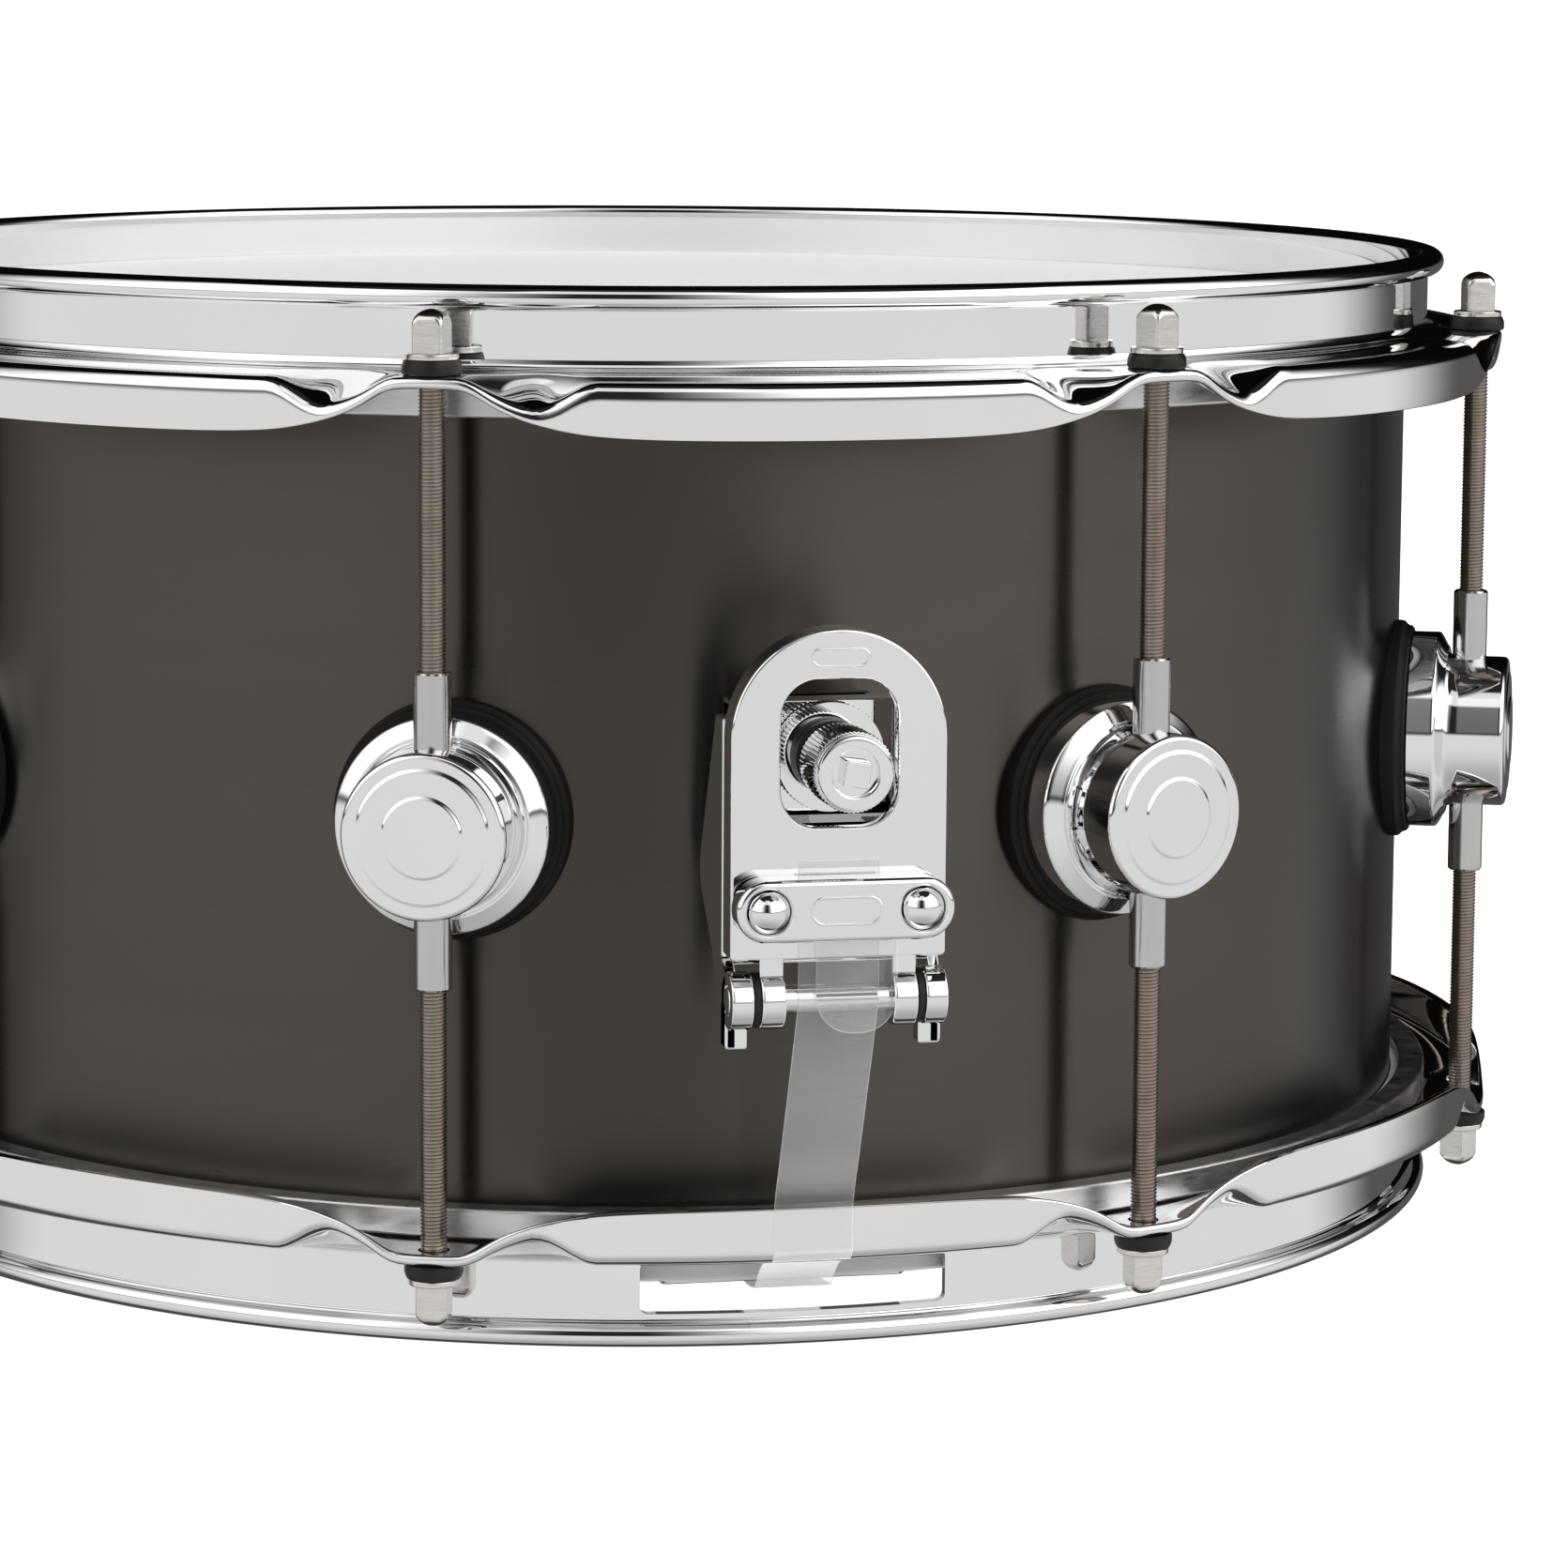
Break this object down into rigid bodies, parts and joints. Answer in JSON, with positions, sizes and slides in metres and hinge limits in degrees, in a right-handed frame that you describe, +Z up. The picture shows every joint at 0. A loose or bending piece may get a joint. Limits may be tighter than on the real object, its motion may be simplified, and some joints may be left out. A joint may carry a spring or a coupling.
{
  "type": "snare drum",
  "caption": "Snare drum: satin dark metal shell, turret lugs, flanged chrome hoops, keyed tension rods, two heads, snare wires and a lever throw-off.",
  "frame": {"origin": "on the drum's axis, in the plane of the lower rim that the drum rests on", "axes": "+Z up along the drum's axis, throw-off lever faces -Y, butt plate faces +Y"},
  "size_m": [0.3686, 0.4143, 0.2008],
  "materials": {
    "shell_nickel": "satin brushed black nickel",
    "batter_film": "white coated film",
    "snare_film": "hazy clear film",
    "flesh_aluminium": "satin extruded",
    "gasket_rubber": "matte",
    "black_nylon": "satin",
    "brushed_steel": "turned and brushed",
    "rod_steel": "fine rolled thread",
    "clear_strap": "clear flexible film",
    "snare_steel": "bright wire",
    "chrome": "mirror polished"
  },
  "bodies": {
    "drum": {"shell": "shell_nickel", "vent_grommet": "chrome", "batter_head": "batter_film", "batter_flesh_hoop": "flesh_aluminium", "snare_head": "snare_film", "snare_flesh_hoop": "flesh_aluminium", "lug_gaskets": "gasket_rubber", "lug_housings": "chrome", "lug_sleeves": "brushed_steel", "lug_screws": "brushed_steel", "lug_washers": "brushed_steel", "strainer_gasket": "gasket_rubber", "strainer_base": "chrome", "strainer_screws": "brushed_steel", "guide_rods": "brushed_steel", "butt_gasket": "gasket_rubber", "butt_plate": "chrome", "butt_screws": "brushed_steel", "butt_clamp": "chrome", "butt_clamp_screws": "chrome"},
    "top_hoop": {"top_hoop": "chrome", "top_steel_washers": "brushed_steel", "top_nylon_washers": "black_nylon"},
    "bottom_hoop": {"bottom_hoop": "chrome", "bottom_steel_washers": "brushed_steel", "bottom_nylon_washers": "black_nylon"},
    "carriage": {"carriage": "chrome", "hinge_pin": "brushed_steel", "hinge_washers": "black_nylon"},
    "lever": {"lever": "chrome", "clamp_plate": "chrome", "clamp_screws": "chrome"},
    "knob": {"tension_knob": "chrome", "adjuster_wheel": "chrome"},
    "snares": {"snare_wires": "snare_steel", "snare_end_plates": "snare_steel", "snare_strap": "clear_strap", "butt_strap": "clear_strap"},
    "top_rod_1": {"top_rod_1": "rod_steel"},
    "top_rod_2": {"top_rod_2": "rod_steel"},
    "top_rod_3": {"top_rod_3": "rod_steel"},
    "top_rod_4": {"top_rod_4": "rod_steel"},
    "top_rod_5": {"top_rod_5": "rod_steel"},
    "top_rod_6": {"top_rod_6": "rod_steel"},
    "top_rod_7": {"top_rod_7": "rod_steel"},
    "top_rod_8": {"top_rod_8": "rod_steel"},
    "bottom_rod_1": {"bottom_rod_1": "rod_steel"},
    "bottom_rod_2": {"bottom_rod_2": "rod_steel"},
    "bottom_rod_3": {"bottom_rod_3": "rod_steel"},
    "bottom_rod_4": {"bottom_rod_4": "rod_steel"},
    "bottom_rod_5": {"bottom_rod_5": "rod_steel"},
    "bottom_rod_6": {"bottom_rod_6": "rod_steel"},
    "bottom_rod_7": {"bottom_rod_7": "rod_steel"},
    "bottom_rod_8": {"bottom_rod_8": "rod_steel"}
  },
  "joints": [
    {"name": "top_hoop_lift", "type": "slide", "parent": "drum", "child": "top_hoop", "axis": [0, 0, 1], "range_m": [0, 0.006]},
    {"name": "bottom_hoop_drop", "type": "slide", "parent": "drum", "child": "bottom_hoop", "axis": [0, 0, -1], "range_m": [0, 0.006]},
    {"name": "top_rod_1_turn", "type": "hinge", "parent": "top_hoop", "child": "top_rod_1", "pos_m": [0.06907, -0.16676, 0.1848], "axis": [0, 0, 1], "range_deg": [0, 4320]},
    {"name": "top_rod_2_turn", "type": "hinge", "parent": "top_hoop", "child": "top_rod_2", "pos_m": [0.16676, -0.06907, 0.1848], "axis": [0, 0, 1], "range_deg": [0, 4320]},
    {"name": "top_rod_3_turn", "type": "hinge", "parent": "top_hoop", "child": "top_rod_3", "pos_m": [0.16676, 0.06907, 0.1848], "axis": [0, 0, 1], "range_deg": [0, 4320]},
    {"name": "top_rod_4_turn", "type": "hinge", "parent": "top_hoop", "child": "top_rod_4", "pos_m": [0.06907, 0.16676, 0.1848], "axis": [0, 0, 1], "range_deg": [0, 4320]},
    {"name": "top_rod_5_turn", "type": "hinge", "parent": "top_hoop", "child": "top_rod_5", "pos_m": [-0.06907, 0.16676, 0.1848], "axis": [0, 0, 1], "range_deg": [0, 4320]},
    {"name": "top_rod_6_turn", "type": "hinge", "parent": "top_hoop", "child": "top_rod_6", "pos_m": [-0.16676, 0.06907, 0.1848], "axis": [0, 0, 1], "range_deg": [0, 4320]},
    {"name": "top_rod_7_turn", "type": "hinge", "parent": "top_hoop", "child": "top_rod_7", "pos_m": [-0.16676, -0.06907, 0.1848], "axis": [0, 0, 1], "range_deg": [0, 4320]},
    {"name": "top_rod_8_turn", "type": "hinge", "parent": "top_hoop", "child": "top_rod_8", "pos_m": [-0.06907, -0.16676, 0.1848], "axis": [0, 0, 1], "range_deg": [0, 4320]},
    {"name": "bottom_rod_1_turn", "type": "hinge", "parent": "bottom_hoop", "child": "bottom_rod_1", "pos_m": [0.06907, -0.16676, 0.0178], "axis": [0, 0, -1], "range_deg": [0, 4320]},
    {"name": "bottom_rod_2_turn", "type": "hinge", "parent": "bottom_hoop", "child": "bottom_rod_2", "pos_m": [0.16676, -0.06907, 0.0178], "axis": [0, 0, -1], "range_deg": [0, 4320]},
    {"name": "bottom_rod_3_turn", "type": "hinge", "parent": "bottom_hoop", "child": "bottom_rod_3", "pos_m": [0.16676, 0.06907, 0.0178], "axis": [0, 0, -1], "range_deg": [0, 4320]},
    {"name": "bottom_rod_4_turn", "type": "hinge", "parent": "bottom_hoop", "child": "bottom_rod_4", "pos_m": [0.06907, 0.16676, 0.0178], "axis": [0, 0, -1], "range_deg": [0, 4320]},
    {"name": "bottom_rod_5_turn", "type": "hinge", "parent": "bottom_hoop", "child": "bottom_rod_5", "pos_m": [-0.06907, 0.16676, 0.0178], "axis": [0, 0, -1], "range_deg": [0, 4320]},
    {"name": "bottom_rod_6_turn", "type": "hinge", "parent": "bottom_hoop", "child": "bottom_rod_6", "pos_m": [-0.16676, 0.06907, 0.0178], "axis": [0, 0, -1], "range_deg": [0, 4320]},
    {"name": "bottom_rod_7_turn", "type": "hinge", "parent": "bottom_hoop", "child": "bottom_rod_7", "pos_m": [-0.16676, -0.06907, 0.0178], "axis": [0, 0, -1], "range_deg": [0, 4320]},
    {"name": "bottom_rod_8_turn", "type": "hinge", "parent": "bottom_hoop", "child": "bottom_rod_8", "pos_m": [-0.06907, -0.16676, 0.0178], "axis": [0, 0, -1], "range_deg": [0, 4320]},
    {"name": "carriage_height", "type": "slide", "parent": "drum", "child": "carriage", "axis": [0, 0, 1], "range_m": [-0.004, 0]},
    {"name": "knob_turn", "type": "hinge", "parent": "carriage", "child": "knob", "pos_m": [0, -0.205, 0.1164], "axis": [0, -1, 0], "range_deg": [-1440, 0]},
    {"name": "lever_throw", "type": "hinge", "parent": "carriage", "child": "lever", "pos_m": [0, -0.2015, 0.0727], "axis": [1, 0, 0], "range_deg": [0, 100]},
    {"name": "snare_drop", "type": "slide", "parent": "carriage", "child": "snares", "axis": [0, 0, -1], "range_m": [0, 0.003], "deforming": ["snare_strap", "butt_strap"]}
  ],
  "couplings": [
    {"joint": "top_rod_1_turn", "follows": "top_hoop_lift", "rad_per_m": 12566},
    {"joint": "top_rod_2_turn", "follows": "top_hoop_lift", "rad_per_m": 12566},
    {"joint": "top_rod_3_turn", "follows": "top_hoop_lift", "rad_per_m": 12566},
    {"joint": "top_rod_4_turn", "follows": "top_hoop_lift", "rad_per_m": 12566},
    {"joint": "top_rod_5_turn", "follows": "top_hoop_lift", "rad_per_m": 12566},
    {"joint": "top_rod_6_turn", "follows": "top_hoop_lift", "rad_per_m": 12566},
    {"joint": "top_rod_7_turn", "follows": "top_hoop_lift", "rad_per_m": 12566},
    {"joint": "top_rod_8_turn", "follows": "top_hoop_lift", "rad_per_m": 12566},
    {"joint": "bottom_rod_1_turn", "follows": "bottom_hoop_drop", "rad_per_m": 12566},
    {"joint": "bottom_rod_2_turn", "follows": "bottom_hoop_drop", "rad_per_m": 12566},
    {"joint": "bottom_rod_3_turn", "follows": "bottom_hoop_drop", "rad_per_m": 12566},
    {"joint": "bottom_rod_4_turn", "follows": "bottom_hoop_drop", "rad_per_m": 12566},
    {"joint": "bottom_rod_5_turn", "follows": "bottom_hoop_drop", "rad_per_m": 12566},
    {"joint": "bottom_rod_6_turn", "follows": "bottom_hoop_drop", "rad_per_m": 12566},
    {"joint": "bottom_rod_7_turn", "follows": "bottom_hoop_drop", "rad_per_m": 12566},
    {"joint": "bottom_rod_8_turn", "follows": "bottom_hoop_drop", "rad_per_m": 12566},
    {"joint": "knob_turn", "follows": "carriage_height", "rad_per_m": 6283.2},
    {"joint": "snare_drop", "follows": "lever_throw", "m_per_rad": 0.0017189}
  ]
}
